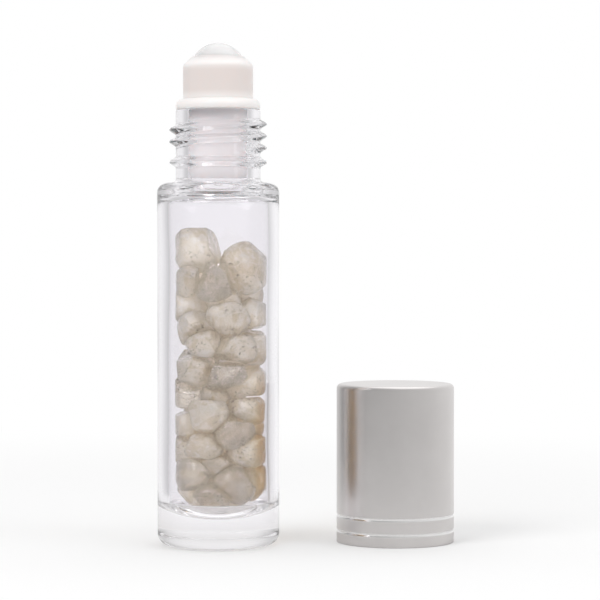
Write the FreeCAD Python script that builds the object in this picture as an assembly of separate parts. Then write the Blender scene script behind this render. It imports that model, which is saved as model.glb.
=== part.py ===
import FreeCAD, Part
import math
import os
import random

# Clear glass roll-on bottle filled with tumbled crystal chips, with its roller
# fitment in the neck and its screw cap standing beside it, mouth down.
# Millimetres, +Z up. The origin is the centre of the bottle's base, on the
# surface that it stands on. +X points from the bottle to the cap.

Vector = FreeCAD.Vector
UP = Vector(0, 0, 1)

# Glass bottle
body_diameter = 20.0
body_wall = 1.85
shoulder_height = 59.4
shoulder_step = 3.05
shoulder_radius = 1.7
shoulder_wall = 2.0
heel_radius = 2.0
stand_width = 0.9
punt_depth = 0.6
base_thickness = 4.4
bowl_depth = 2.7
cavity_corner_radius = 1.6
neck_wall = 2.0
neck_height = 11.9
neck_root_radius = 0.7
bore_root_radius = 0.6
mouth_edge_radius = 0.35

# Screw finish on the neck: how far it stands out, and the plain bead at its foot
finish_depth = 1.05
bead_width = 1.9
bead_crest_width = 0.5
bead_height = 3.3

# Roller fitment
flange_inset = 0.05
flange_thickness = 1.7
flange_edge_radius = 1.0
cage_wall = 1.05
cage_height = 5.6
lip_height = 1.4
lip_rim_width = 0.22
seat_thickness = 1.0
feed_hole_diameter = 3.2
feed_slot_count = 4
feed_slot_width = 0.8
feed_slot_margin = 1.0
plug_length = 11.5
plug_clearance = 0.15
plug_wall = 1.0
plug_lead_length = 1.2
plug_lead_depth = 0.35
seal_rib_count = 3
seal_rib_width = 0.7
seal_rib_margin = 1.8
seal_clearance = 0.03

# Roller ball
ball_diameter = 9.2
ball_clearance = 0.08
ball_cover = 2.4

# Cap, sized to go over the finish, the fitment and the ball
finish_clearance = 0.325
shell_wall = 0.45
cap_edge_radius = 0.8
groove_width = 0.5
groove_depth = 0.14
lower_groove_height = 2.0
upper_groove_height = 4.5
liner_clearance = 0.05
liner_wall = 0.9
liner_top = 1.2
liner_inset = 0.3
liner_lead = 0.4
skirt_clearance = 0.7
chamber_clearance = 0.45
presser_diameter = 5.6
presser_wall = 0.8
presser_length = 2.55
presser_clearance = 0.05
cap_stand_off = 0.4
cap_aside = 29.2
cap_behind = 4.0

# Crystal chips, which lean on the +X side of the glass
chip_count = 54
chip_gap = 0.3
chip_size = 8.6
chip_turn_degrees = 47
chip_wear_degrees = 12
headspace = 5.0
pile_lean = 0.4
pile_foot_inset = 2.6
pile_foot_height = 3.4
pile_seed = 11
pile_draws = 10
pile_foot_share = 0.06
pile_head_share = 0.785
chip_inset_share = 0.66
pile_rise_share = 7.07
chip_round_share = 1.12
# The chips that crown the pile, as shares of the cavity's radius and the pile's height
crown_shares = (
    (-0.56, -0.25, 0.890),
    (-0.62, -0.50, 0.820),
    (0.48, -0.38, 0.825),
    (-0.06, -0.55, 0.800),
    (0.30, 0.55, 0.825),
    (-0.38, 0.55, 0.825),
)

# Every cut runs past the face that it opens by this much
overrun = 2.0

body_radius = body_diameter / 2
cavity_radius = body_radius - body_wall
neck_radius = body_radius - shoulder_step
bore_radius = neck_radius - neck_wall
finish_radius = neck_radius + finish_depth
mouth_height = shoulder_height + neck_height
ceiling_height = shoulder_height - shoulder_wall
bowl_radius = (cavity_radius ** 2 + bowl_depth ** 2) / (2 * bowl_depth)
pile_height = ceiling_height - headspace - base_thickness

ball_radius = ball_diameter / 2
pocket_radius = ball_radius + ball_clearance
flange_radius = neck_radius - flange_inset
flange_top = mouth_height + flange_thickness
plug_radius = bore_radius - plug_clearance
plug_end = mouth_height - plug_length
lip_top = flange_top + cage_height + lip_height
ball_height = lip_top - ball_cover

# Heights in the cap count from its rim, which stops this far above the shoulder
presser_inside = presser_diameter / 2 - presser_wall
ball_in_cap = ball_height - shoulder_height - cap_stand_off
presser_end = ball_in_cap + math.sqrt(ball_radius ** 2 - presser_inside ** 2) + presser_clearance
liner_underside = presser_end + presser_length
cap_height = liner_underside + liner_top + shell_wall
skirt_inside = finish_radius + finish_clearance
skirt_radius = skirt_inside + liner_wall
cap_radius = skirt_radius + liner_clearance + shell_wall


class Outline:
    """A half section in the plane of the axis, drawn edge by edge and turned about Z."""

    def __init__(self, radius, height):
        self.start = (radius, height)
        self.at = (radius, height)
        self.edges = []

    def line_to(self, radius, height):
        """Draws a straight edge to the given radius and height."""
        start = Vector(self.at[0], 0, self.at[1])
        end = Vector(radius, 0, height)
        self.edges.append(Part.LineSegment(start, end).toShape())
        self.at = (radius, height)

    def arc_to(self, radius, height, through):
        """Draws an arc to the given radius and height, through a point on the way."""
        start = Vector(self.at[0], 0, self.at[1])
        middle = Vector(through[0], 0, through[1])
        end = Vector(radius, 0, height)
        self.edges.append(Part.Arc(start, middle, end).toShape())
        self.at = (radius, height)

    def quarter_to(self, radius, height, leaves_level):
        """Draws a quarter circle that leaves level and arrives upright, or the other way round."""
        centre_radius = self.at[0] if leaves_level else radius
        centre_height = height if leaves_level else self.at[1]
        lean = math.sqrt(0.5)
        across = self.at[0] + radius - 2 * centre_radius
        along = self.at[1] + height - 2 * centre_height
        through = (centre_radius + across * lean, centre_height + along * lean)
        self.arc_to(radius, height, through)

    def turn(self):
        """Closes the section and turns it once about the Z axis."""
        self.line_to(*self.start)
        face = Part.Face(Part.Wire(self.edges))
        return face.revolve(Vector(), UP, 360)


def lone(shape):
    """The one solid that a cut or an overlap leaves."""
    return shape.Solids[0]


def bowl_point(radius, inset=0):
    """The point of the dished floor at a radius, for a floor set in from the glass."""
    bowl_centre = base_thickness + bowl_radius
    return radius, bowl_centre - math.sqrt((bowl_radius - inset) ** 2 - radius ** 2)


def punt_point(radius, punt_radius):
    """The point of the hollow underside at a radius."""
    bend = (punt_depth ** 2 + punt_radius ** 2) / (2 * punt_depth)
    return radius, punt_depth - bend + math.sqrt(bend ** 2 - radius ** 2)


def bottle_outside():
    """The bottle's outer form: hollow underside, heel, body, shoulder, bead and neck."""
    punt_radius = body_radius - heel_radius - stand_width
    bead_middle = shoulder_height + bead_height
    crest_radius = finish_radius - bead_crest_width / 2
    outline = Outline(0, punt_depth)
    outline.arc_to(punt_radius, 0, punt_point(punt_radius / 2, punt_radius))
    outline.line_to(body_radius - heel_radius, 0)
    outline.quarter_to(body_radius, heel_radius, True)
    outline.line_to(body_radius, shoulder_height - shoulder_radius)
    outline.quarter_to(body_radius - shoulder_radius, shoulder_height, False)
    outline.line_to(neck_radius + neck_root_radius, shoulder_height)
    outline.quarter_to(neck_radius, shoulder_height + neck_root_radius, True)
    outline.line_to(neck_radius, bead_middle - bead_width / 2)
    outline.line_to(crest_radius, bead_middle - bead_crest_width / 2)
    outline.arc_to(crest_radius, bead_middle + bead_crest_width / 2, (finish_radius, bead_middle))
    outline.line_to(neck_radius, bead_middle + bead_width / 2)
    outline.line_to(neck_radius, mouth_height - mouth_edge_radius)
    outline.quarter_to(neck_radius - mouth_edge_radius, mouth_height, False)
    outline.line_to(0, mouth_height)
    return outline.turn()


def bottle_cavity():
    """The hollow inside the glass: dished floor, straight wall, ceiling and neck bore."""
    outline = Outline(0, base_thickness)
    outline.arc_to(*bowl_point(cavity_radius), bowl_point(cavity_radius / 2))
    outline.line_to(cavity_radius, ceiling_height - cavity_corner_radius)
    outline.quarter_to(cavity_radius - cavity_corner_radius, ceiling_height, False)
    outline.line_to(bore_radius + bore_root_radius, ceiling_height)
    outline.quarter_to(bore_radius, ceiling_height + bore_root_radius, True)
    outline.line_to(bore_radius, mouth_height + overrun)
    outline.line_to(0, mouth_height + overrun)
    return outline.turn()


def glass_bottle():
    """The bottle, moulded in one piece."""
    return lone(bottle_outside().cut(bottle_cavity()))


def fitment_outside():
    """The fitment's outer form: ribbed plug, flange, ball cage and coned lip."""
    rib_radius = bore_radius - seal_clearance
    lowest_rib = plug_end + plug_lead_length + seal_rib_margin
    highest_rib = mouth_height - seal_rib_margin
    rib_pitch = (highest_rib - lowest_rib) / (seal_rib_count - 1)
    cage_radius = pocket_radius + cage_wall
    rim_radius = math.sqrt(pocket_radius ** 2 - ball_cover ** 2) + lip_rim_width
    outline = Outline(0, plug_end)
    outline.line_to(plug_radius - plug_lead_depth, plug_end)
    outline.line_to(plug_radius, plug_end + plug_lead_length)
    for rib in range(seal_rib_count):
        rib_middle = lowest_rib + rib * rib_pitch
        outline.line_to(plug_radius, rib_middle - seal_rib_width / 2)
        outline.arc_to(plug_radius, rib_middle + seal_rib_width / 2, (rib_radius, rib_middle))
    outline.line_to(plug_radius, mouth_height)
    outline.line_to(flange_radius, mouth_height)
    outline.line_to(flange_radius, flange_top - flange_edge_radius)
    outline.quarter_to(flange_radius - flange_edge_radius, flange_top, False)
    outline.line_to(cage_radius, flange_top)
    outline.line_to(cage_radius, flange_top + cage_height)
    outline.line_to(rim_radius, lip_top)
    outline.line_to(0, lip_top)
    return outline.turn()


def roller_housing():
    """The moulded fitment: a hollow plug below, and above it the ball's round seat with its feed slots."""
    hollow_radius = plug_radius - plug_wall
    hollow_top = ball_height - pocket_radius - seat_thickness
    slot_reach = hollow_radius - feed_slot_margin
    feed_length = ball_height - plug_end
    pocket = Part.makeSphere(pocket_radius, Vector(0, 0, ball_height))
    hollow_foot = plug_end - overrun
    hollow = Part.makeCylinder(hollow_radius, hollow_top - hollow_foot, Vector(0, 0, hollow_foot))
    feed_hole = Part.makeCylinder(feed_hole_diameter / 2, feed_length, Vector(0, 0, plug_end))
    housing = fitment_outside().cut(pocket).cut(hollow).cut(feed_hole)
    for slot in range(feed_slot_count):
        slot_corner = Vector(0, -feed_slot_width / 2, plug_end)
        cutter = Part.makeBox(slot_reach, feed_slot_width, feed_length, slot_corner)
        cutter.rotate(Vector(), UP, 360 / feed_slot_count * slot)
        housing = housing.cut(cutter)
    return lone(housing)


def roller_ball():
    """The ball that rolls in the cage."""
    return Part.makeSphere(ball_radius, Vector(0, 0, ball_height))


def stood_aside(solid):
    """Stands a piece of the cap where the cap rests, beside the bottle."""
    solid.translate(Vector(cap_aside, cap_behind, 0))
    return solid


def cap_shell():
    """The drawn metal sleeve with its two cut grooves, open at the rim."""
    inside = cap_radius - shell_wall
    outline = Outline(0, cap_height)
    outline.line_to(cap_radius - cap_edge_radius, cap_height)
    outline.quarter_to(cap_radius, cap_height - cap_edge_radius, True)
    for groove_middle in (upper_groove_height, lower_groove_height):
        outline.line_to(cap_radius, groove_middle + groove_width / 2)
        groove_floor = (cap_radius - groove_depth, groove_middle)
        outline.arc_to(cap_radius, groove_middle - groove_width / 2, groove_floor)
    outline.line_to(cap_radius, 0)
    outline.line_to(inside, 0)
    outline.line_to(inside, cap_height - cap_edge_radius)
    outline.quarter_to(cap_radius - cap_edge_radius, cap_height - shell_wall, False)
    outline.line_to(0, cap_height - shell_wall)
    return stood_aside(outline.turn())


def cap_liner():
    """The inner cap: a skirt that fits the sleeve, and a narrower cup with a ring for the ball."""
    skirt_depth = flange_top - shoulder_height - cap_stand_off + skirt_clearance
    chamber_inside = flange_radius + chamber_clearance
    chamber_radius = chamber_inside + liner_wall
    liner_height = liner_underside + liner_top
    outline = Outline(0, liner_height)
    outline.line_to(chamber_radius, liner_height)
    outline.line_to(chamber_radius, skirt_depth + liner_wall)
    outline.line_to(skirt_radius, skirt_depth + liner_wall)
    outline.line_to(skirt_radius, liner_inset)
    outline.line_to(skirt_inside + liner_lead, liner_inset)
    outline.line_to(skirt_inside, liner_inset + liner_lead)
    outline.line_to(skirt_inside, skirt_depth)
    outline.line_to(chamber_inside, skirt_depth)
    outline.line_to(chamber_inside, liner_underside)
    outline.line_to(presser_diameter / 2, liner_underside)
    outline.line_to(presser_diameter / 2, presser_end)
    outline.line_to(presser_inside, presser_end)
    outline.line_to(presser_inside, liner_underside)
    outline.line_to(0, liner_underside)
    return stood_aside(outline.turn())


def pile_share_apart(spot, other):
    """How far apart two spots of the pile lie, with heights drawn out so that the chips lie flat."""
    rise_share = pile_rise_share * (other[2] - spot[2])
    return math.hypot(other[0] - spot[0], other[1] - spot[1], rise_share)


def chip_spots():
    """The chips' spots, spread through the pile: each is the draw that lies farthest from the others."""
    draw = random.Random(pile_seed)
    spots = list(crown_shares)
    while len(spots) < chip_count:
        best = None
        best_share = 0
        for attempt in range(pile_draws):
            angle = 2 * math.pi * draw.random()
            radius_share = chip_inset_share * math.sqrt(draw.random())
            height_share = pile_foot_share + (pile_head_share - pile_foot_share) * draw.random()
            spot = (radius_share * math.cos(angle), radius_share * math.sin(angle), height_share)
            room_share = min(pile_share_apart(spot, other) for other in spots)
            if room_share > best_share:
                best = spot
                best_share = room_share
        spots.append(best)
    return sorted(spots, key=lambda spot: spot[2])


def in_pile(spot):
    """The point of the bottle where a spot of the pile lies."""
    return Vector(spot[0] * cavity_radius, spot[1] * cavity_radius, base_thickness + spot[2] * pile_height)


def parting(spot, other):
    """The plane half way to another chip, set back by half their gap: a point on it, and its direction."""
    rise = pile_rise_share ** 2 * (other[2] - spot[2]) / pile_height
    facing = Vector((other[0] - spot[0]) / cavity_radius, (other[1] - spot[1]) / cavity_radius, rise)
    direction = facing / facing.Length
    return (in_pile(spot) + in_pile(other)) / 2 - direction * chip_gap / 2, direction


def split_off(cell, point, direction):
    """Cuts away what a cell has beyond a plane."""
    if all((corner.Point - point).dot(direction) <= 0 for corner in cell.Vertexes):
        return cell
    reach = 4 * chip_size
    block = Part.makeBox(reach, reach, reach, Vector(-reach / 2, -reach / 2, 0))
    block.Placement = FreeCAD.Placement(point, FreeCAD.Rotation(UP, direction))
    return cell.cut(block)


def pile_room():
    """The space that chips may fill: the cavity, set in by their gap to the glass, narrow at its foot."""
    inset = chip_gap + pile_lean
    radius = cavity_radius - inset
    foot_radius = radius - pile_foot_inset
    foot = bowl_point(foot_radius, inset)
    roof = ceiling_height - cavity_corner_radius
    outline = Outline(*bowl_point(0, inset))
    outline.arc_to(*foot, bowl_point(foot_radius / 2, inset))
    outline.line_to(radius, foot[1] + pile_foot_height)
    outline.line_to(radius, roof)
    outline.line_to(0, roof)
    room = outline.turn()
    room.translate(Vector(pile_lean, 0, 0))
    return room


def tumbled(block):
    """Rounds a block's corners off by a ball of about its own volume, worn flat at the poles."""
    even_radius = (3 * block.Volume / (4 * math.pi)) ** (1 / 3)
    round_radius = chip_round_share * even_radius
    worn_degrees = 90 - chip_wear_degrees
    ball = Part.makeSphere(round_radius, block.CenterOfMass, UP, -worn_degrees, worn_degrees, 360)
    return lone(block.common(ball))


def crystal_chips():
    """The chips: cells of the pile, cut apart half way between neighbours and tumbled round."""
    spots = chip_spots()
    room = pile_room()
    chips = []
    for number, spot in enumerate(spots):
        centre = in_pile(spot)
        corner = centre - Vector(chip_size, chip_size, chip_size) / 2
        cell = Part.makeBox(chip_size, chip_size, chip_size, corner)
        cell.rotate(centre, Vector(1, 1, 1), chip_turn_degrees * number)
        for other in sorted(spots, key=lambda other: pile_share_apart(spot, other))[1:]:
            cell = split_off(cell, *parting(spot, other))
        chips.append(tumbled(lone(cell.common(room))))
    return chips


def write(name, solid):
    """Writes one piece to its own file."""
    solid.exportStep(os.path.join("parts", name + ".step"))


os.makedirs("parts", exist_ok=True)
write("glass_bottle", glass_bottle())
write("roller_housing", roller_housing())
write("roller_ball", roller_ball())
write("cap_shell", cap_shell())
write("cap_liner", cap_liner())
for number, chip in enumerate(crystal_chips(), start=1):
    write(f"crystal_chip_{number:02d}", chip)
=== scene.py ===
"""Looks of a clear glass roll-on bottle filled with tumbled quartz chips, with its cap standing beside it.

Every length is in millimetres unless its name says otherwise, and turns into metres where a mesh is made.
+Z is up, the bottle stands on the origin and the camera looks along +Y.
"""
from __future__ import annotations

import logging
import math
from dataclasses import dataclass
from enum import Enum
from functools import partial, reduce

import bpy
import numpy as np
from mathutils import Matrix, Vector

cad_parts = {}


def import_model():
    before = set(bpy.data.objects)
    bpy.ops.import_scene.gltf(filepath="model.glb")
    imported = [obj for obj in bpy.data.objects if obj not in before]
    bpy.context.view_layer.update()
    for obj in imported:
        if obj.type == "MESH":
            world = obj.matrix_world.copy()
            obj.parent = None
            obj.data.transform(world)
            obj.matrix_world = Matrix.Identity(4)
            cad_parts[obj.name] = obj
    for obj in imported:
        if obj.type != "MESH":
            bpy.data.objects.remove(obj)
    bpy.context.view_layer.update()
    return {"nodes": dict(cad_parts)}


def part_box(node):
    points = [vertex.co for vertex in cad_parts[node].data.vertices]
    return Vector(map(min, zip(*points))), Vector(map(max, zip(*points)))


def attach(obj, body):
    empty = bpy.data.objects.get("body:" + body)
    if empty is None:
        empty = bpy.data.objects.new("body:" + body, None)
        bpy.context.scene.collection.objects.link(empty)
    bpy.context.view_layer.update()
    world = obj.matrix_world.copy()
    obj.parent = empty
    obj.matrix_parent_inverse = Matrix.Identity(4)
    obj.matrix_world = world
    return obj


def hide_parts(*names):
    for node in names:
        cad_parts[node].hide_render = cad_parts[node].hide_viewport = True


LOG = logging.getLogger("roll_on_bottle")
MM = 0.001
TURN = 2 * math.pi
TINY = 1e-6

Array = np.ndarray
Colour = tuple[float, float, float]
Place = tuple[float, float, float]
Span = tuple[float, float]
Run = tuple[float, float, int] | tuple[float, float, int, Span]
Piece = bpy.types.Object
Node = bpy.types.Node
Socket = bpy.types.NodeSocket
Material = bpy.types.Material


class Body(Enum):
    """The bodies that the dressed pieces ride on."""

    BOTTLE = "bottle"
    FITMENT = "fitment"
    BALL = "ball"
    CAP = "cap"


class Slot(Enum):
    """Names of the material slots."""

    BOTTLE_GLASS = "bottle_glass"
    NATURAL_PLASTIC = "natural_plastic"
    BALL_GLASS = "ball_glass"
    SATIN_ALUMINIUM = "satin_aluminium"
    INNER_CAP_PLASTIC = "inner_cap_plastic"
    CRYSTAL = "crystal"


# Surfaces


def drawn(start: Span, *runs: Run) -> Array:
    """Draws a half section of a turned piece, along straight runs and round arcs, the short way.

    Args:
        start: Radius and height of the first point.
        runs: For each run the radius and height of its end, its number of points and, for an arc, its centre.

    Returns:
        Rows of radius and height.
    """
    rows = [np.array([start], float)]
    for radius, height, steps, *centre in runs:
        share = np.linspace(0, 1, steps + 1)[1:, None]
        first = rows[-1][-1]
        last = np.array([radius, height])
        if centre:
            middle = np.array(centre[0])
            arms = (first - middle, last - middle)
            first_angle, last_angle = (math.atan2(arm[1], arm[0]) for arm in arms)
            first_reach, last_reach = (np.linalg.norm(arm) for arm in arms)
            angle = first_angle + ((last_angle - first_angle + math.pi) % TURN - math.pi) * share
            reach = first_reach + (last_reach - first_reach) * share
            rows.append(middle + reach * np.hstack((np.cos(angle), np.sin(angle))))
        else:
            rows.append(first + share * (last - first))
    return np.concatenate(rows)


def around(count: int) -> Array:
    """Even angles once round the axis, in radians."""
    return np.arange(count) * TURN / count


def turned(section: Array, angles: Array, bulge: Array | float = 0.0) -> Array:
    """Turns a section about Z: x = (r + bulge) cos t, y = (r + bulge) sin t, z as drawn.

    Args:
        section: Radius and height of each row, or of each angle and row.
        angles: Angles of the turn.
        bulge: What is added to the radius at each angle and row.

    Returns:
        Points, by angle and row.
    """
    grid = np.broadcast_to(section, (len(angles), *section.shape[-2:]))
    radius = grid[..., 0] + bulge
    sides = (radius * np.cos(angles)[:, None], radius * np.sin(angles)[:, None])
    return np.stack((*sides, grid[..., 1]), axis=-1)


def skin(name: str, points: Array, ring: bool = False, sharp: float | None = None) -> Piece:
    """Joins a grid of points into one closed skin that faces outwards.

    The first index goes round. The second goes along, and is closed too on a ring. Elsewhere its first and
    last rows are the two poles, each a single point.

    Args:
        name: Name of the piece.
        points: Points by angle and row.
        ring: True where the rows are closed as well.
        sharp: Angle in degrees past which an edge stays crisp, or None for a smooth piece.

    Returns:
        The new object, at the origin.
    """
    count, rows = points.shape[:2]
    if ring:
        corners = points.reshape(-1, 3)
        index = np.arange(count * rows).reshape(count, rows)
        beside = np.roll(index, -1, axis=0)
        quads = np.stack((index, beside, np.roll(beside, -1, axis=1), np.roll(index, -1, axis=1)), axis=-1)
        fans = np.zeros((0, 3), int)
    else:
        corners = np.concatenate((points[:1, 0], points[:, 1:-1].reshape(-1, 3), points[:1, -1]))
        index = 1 + np.arange(count * (rows - 2)).reshape(count, rows - 2)
        beside = np.roll(index, -1, axis=0)
        quads = np.stack((index[:, :-1], beside[:, :-1], beside[:, 1:], index[:, 1:]), axis=-1)
        first = np.stack((np.zeros(count, int), beside[:, 0], index[:, 0]), axis=-1)
        last = np.stack((np.full(count, len(corners) - 1), index[:, -1], beside[:, -1]), axis=-1)
        fans = np.concatenate((first, last))
    quads = quads.reshape(-1, 4)
    triangles = np.concatenate((quads[:, :3], quads[:, [0, 2, 3]], fans))
    a, b, c = (corners[triangles[:, corner]] for corner in range(3))
    if np.einsum("ij,ij->", a, np.cross(b, c)) < 0:
        quads = quads[:, ::-1]
        fans = fans[:, ::-1]
    mesh = bpy.data.meshes.new(name)
    mesh.from_pydata((corners * MM).tolist(), [], quads.tolist() + fans.tolist())
    mesh.shade_smooth()
    if sharp is not None:
        mesh.set_sharp_from_angle(angle=math.radians(sharp))
    mesh.validate()
    piece = bpy.data.objects.new(name, mesh)
    bpy.context.scene.collection.objects.link(piece)
    return piece


def settle(piece: Piece, body: Body, slot: Slot, *nodes: str) -> None:
    """Lets a piece ride on its body and stand for its nodes, which it hides.

    Args:
        piece: The dressed piece.
        body: The body that it moves with.
        slot: Not used.
        nodes: The nodes that it stands for.
    """
    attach(piece, body.value)
    if nodes:
        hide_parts(*nodes)
    LOG.info("%s rides on %s with %d faces", piece.name, body.value, len(piece.data.polygons))


def node_box(node: str) -> tuple[Array, Array]:
    """The lowest and highest corner of a node."""
    low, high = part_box(node)
    return np.array(low) / MM, np.array(high) / MM


# Finishes


@dataclass(frozen=True)
class Noise:
    """Cloudy noise: a cloud's size, the number of finer layers, their weight, and how far it is dragged."""

    size: float
    layers: float = 2.0
    weight: float = 0.5
    drag: float = 0.0


class Graph:
    """A node tree, with short calls that add nodes and join them. Most of a noise lies in noise_span."""

    noise_span: Span = (0.3, 0.7)

    def __init__(self, tree: bpy.types.NodeTree) -> None:
        """Empties the tree."""
        self.tree = tree
        self.tree.nodes.clear()

    def add(self, kind: str, inputs: dict | None = None, **settings: object) -> Node:
        """Adds a node.

        Args:
            kind: The node's type, without the words ShaderNode.
            inputs: Value for each input, by name or number. A socket is joined, anything else is set.
            settings: Properties of the node.

        Returns:
            The node.
        """
        node = self.tree.nodes.new("ShaderNode" + kind)
        for name, value in settings.items():
            setattr(node, name, value)
        for name, value in (inputs or {}).items():
            if isinstance(value, Socket):
                self.tree.links.new(value, node.inputs[name])
            else:
                node.inputs[name].default_value = value
        return node

    def place(self) -> Socket:
        """Object coordinates, which are the frame's own."""
        return self.add("TexCoord").outputs["Object"]

    def along(self, axis: str) -> Socket:
        """The place along one axis."""
        return self.add("SeparateXYZ", {0: self.place()}).outputs[axis]

    def noise(self, noise: Noise, output: str = "Fac") -> Socket:
        """A noise as one value, about 0 to 1, or as three with the output Color."""
        values = {
            "Vector": self.place(), "Scale": 1 / (noise.size * MM), "Detail": noise.layers,
            "Roughness": noise.weight, "Distortion": noise.drag,
        }
        return self.add("TexNoise", values).outputs[output]

    def span(self, value: Socket, low: float, high: float, start: float = 0.0, end: float = 1.0) -> Socket:
        """Maps low to high of a value onto start to end, and holds it there outside."""
        inputs = {"Value": value, "From Min": low, "From Max": high, "To Min": start, "To Max": end}
        return self.add("MapRange", inputs, interpolation_type="SMOOTHSTEP").outputs["Result"]

    def band(self, axis: str, ends: Span, rise: float, fall: float) -> Socket:
        """Share of a band along an axis.

        Args:
            axis: The axis.
            ends: Where the band starts and ends.
            rise: Length over which it comes.
            fall: Length over which it goes.

        Returns:
            The share, 0 to 1.
        """
        low, high = ends
        place = self.along(axis)
        above = self.span(place, low * MM, (low + rise) * MM)
        below = self.span(place, (high - fall) * MM, high * MM, 1.0, 0.0)
        return self.product(above, below)

    def math(self, operation: str, first: Socket | float, second: Socket | float = 0.0) -> Socket:
        """One sum of two values."""
        return self.add("Math", {0: first, 1: second}, operation=operation).outputs[0]

    def product(self, *values: Socket | float) -> Socket:
        """All values multiplied."""
        return reduce(partial(self.math, "MULTIPLY"), values)

    def blend(self, share: Socket | float, first: Socket | Colour, second: Socket | Colour) -> Socket:
        """Blends two colours: the share of the second."""
        first, second = (tint if isinstance(tint, Socket) else (*tint, 1.0) for tint in (first, second))
        return self.add("Mix", {0: share, 6: first, 7: second}, data_type="RGBA").outputs[2]

    def bump(self, height: Socket, depth: float, strength: float = 1.0) -> Socket:
        """A normal that a height from 0 to 1 pushes about, by a real depth and the share of it that shows."""
        values = {"Height": height, "Distance": depth * MM, "Strength": strength}
        return self.add("Bump", values).outputs["Normal"]

    def soaked(self, colour: Socket, rough: Socket | float, bend: float, soak: Colour, more: dict) -> Node:
        """Adds the shader of a body that light soaks into.

        Args:
            colour: Its colour.
            rough: Roughness of its surface.
            bend: Index of refraction.
            soak: How deep red, green and blue light go.
            more: Values of the shader's other inputs.

        Returns:
            The shader.
        """
        values = {
            "Base Color": colour, "Roughness": rough, "IOR": bend, "Subsurface Weight": 1.0,
            "Subsurface Radius": tuple(depth * MM for depth in soak), "Subsurface Scale": 1.0,
        }
        return self.add("BsdfPrincipled", values | more)

    def finish(self, shader: Node, lamp_share: Colour | None = None) -> None:
        """Ends a material with its shader, which may turn plainly clear for a lamp's own rays.

        Args:
            shader: The shader.
            lamp_share: Share of a lamp's light that passes, or None where it throws a full shadow.
        """
        surface = shader.outputs[0]
        if lamp_share is not None:
            clear = self.add("BsdfTransparent", {"Color": (*lamp_share, 1.0)})
            lamp_ray = self.add("LightPath").outputs["Is Shadow Ray"]
            surface = self.add("MixShader", {0: lamp_ray, 1: surface, 2: clear.outputs[0]}).outputs[0]
        self.add("OutputMaterial", {"Surface": surface})


def new_material(name: str) -> tuple[Material, Graph]:
    """An empty material and its graph.

    Args:
        name: Name of the finish.

    Returns:
        The material, and the graph that fills it.
    """
    material = bpy.data.materials.new(name)
    material.use_nodes = True
    return material, Graph(material.node_tree)


@dataclass(frozen=True)
class ClearGlass:
    """Polished glass that lets lamps shine on what it holds: clear or milky, and darker low in the base,
    which is painted shade.
    """

    name: str
    tint: Colour = (0.937, 0.924, 0.949)
    bend: float = 1.51
    haze: float = 0.0
    milk: float = 0.0
    milk_depth: float = 2.5
    lamp_share: Colour = (0.95, 0.95, 0.955)
    # base: a darker tint near the bottom, painted shade of the shadowed floor seen through the glass
    base: Colour | None = None
    base_shade_height: float = 5.0

    def material(self) -> Material:
        """The finish as a material: refracting glass, with the milky share as light that soaks in."""
        material, graph = new_material(self.name)
        # Painted shade: the tint darkens towards the bottom of the base
        painted_base_shade = graph.span(graph.along("Z"), 0.0, self.base_shade_height * MM, 1.0, 0.0)
        tint = graph.blend(painted_base_shade, self.tint, self.base or self.tint)
        clear = {"Transmission Weight": 1.0 - self.milk}
        graph.finish(graph.soaked(tint, self.haze, self.bend, (self.milk_depth,) * 3, clear), self.lamp_share)
        return material


@dataclass(frozen=True)
class MouldedPlastic:
    """Moulded plastic that light soaks into, with faint flow marks and a soft sheen."""

    name: str
    colour: Colour
    shade: Colour
    soak: Colour
    soak_share: float = 1.0
    gloss: Span = (0.31, 0.42)
    bend: float = 1.5
    flow: Noise = Noise(4.0, 3.0, 0.55, 0.4)
    grain: Noise = Noise(0.8)
    painted_shade: Colour | None = None
    painted_shade_heights: Span = (0.0, 0.0)
    painted_shade_fade: float = 1.5
    painted_shade_radii: Span = (5.1, 5.4)

    def material(self) -> Material:
        """The finish as a material: on the outside of the wall, between two heights where it is at its
        thinnest, a darker colour is painted shade of the hollow behind it.
        """
        material, graph = new_material(self.name)
        tone = graph.span(graph.noise(self.flow), *graph.noise_span)
        colour = graph.blend(tone, self.shade, self.colour)
        # Painted shade: a darker band on the outside of the wall, over the ball's hollow
        if self.painted_shade is not None:
            flat = graph.add("VectorMath", {0: graph.place(), 1: (1.0, 1.0, 0.0)}, operation="MULTIPLY")
            radius = graph.add("VectorMath", {0: flat.outputs[0]}, operation="LENGTH").outputs["Value"]
            outer = graph.span(radius, *(end * MM for end in self.painted_shade_radii))
            band = graph.band("Z", self.painted_shade_heights, self.painted_shade_fade, self.painted_shade_fade)
            colour = graph.blend(graph.product(band, outer), colour, self.painted_shade)
        rough = graph.span(graph.noise(self.grain), *graph.noise_span, *self.gloss)
        soak_share = {"Subsurface Weight": self.soak_share}
        graph.finish(graph.soaked(colour, rough, self.bend, self.soak, soak_share))
        return material


@dataclass(frozen=True)
class SatinMetal:
    """Anodised aluminium with a fine blasted grain, or the bright face that a cutter leaves."""

    name: str
    colour: Colour
    shade: Colour
    gloss: Span
    cloud: Noise = Noise(7.0, 3.0, 0.6)
    grain: Noise = Noise(0.09, 3.0, 0.6)
    grain_depth: float = 0.004
    grain_share: float = 0.4

    def material(self) -> Material:
        """The finish as a material."""
        material, graph = new_material(self.name)
        cloud = graph.span(graph.noise(self.cloud), *graph.noise_span)
        grain = graph.noise(self.grain)
        metal = graph.add("BsdfPrincipled", {
            "Base Color": graph.blend(cloud, self.shade, self.colour),
            "Metallic": 1.0,
            "Roughness": graph.span(grain, *graph.noise_span, *self.gloss),
            "Normal": graph.bump(grain, self.grain_depth, self.grain_share),
        })
        graph.finish(metal)
        return material


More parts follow.
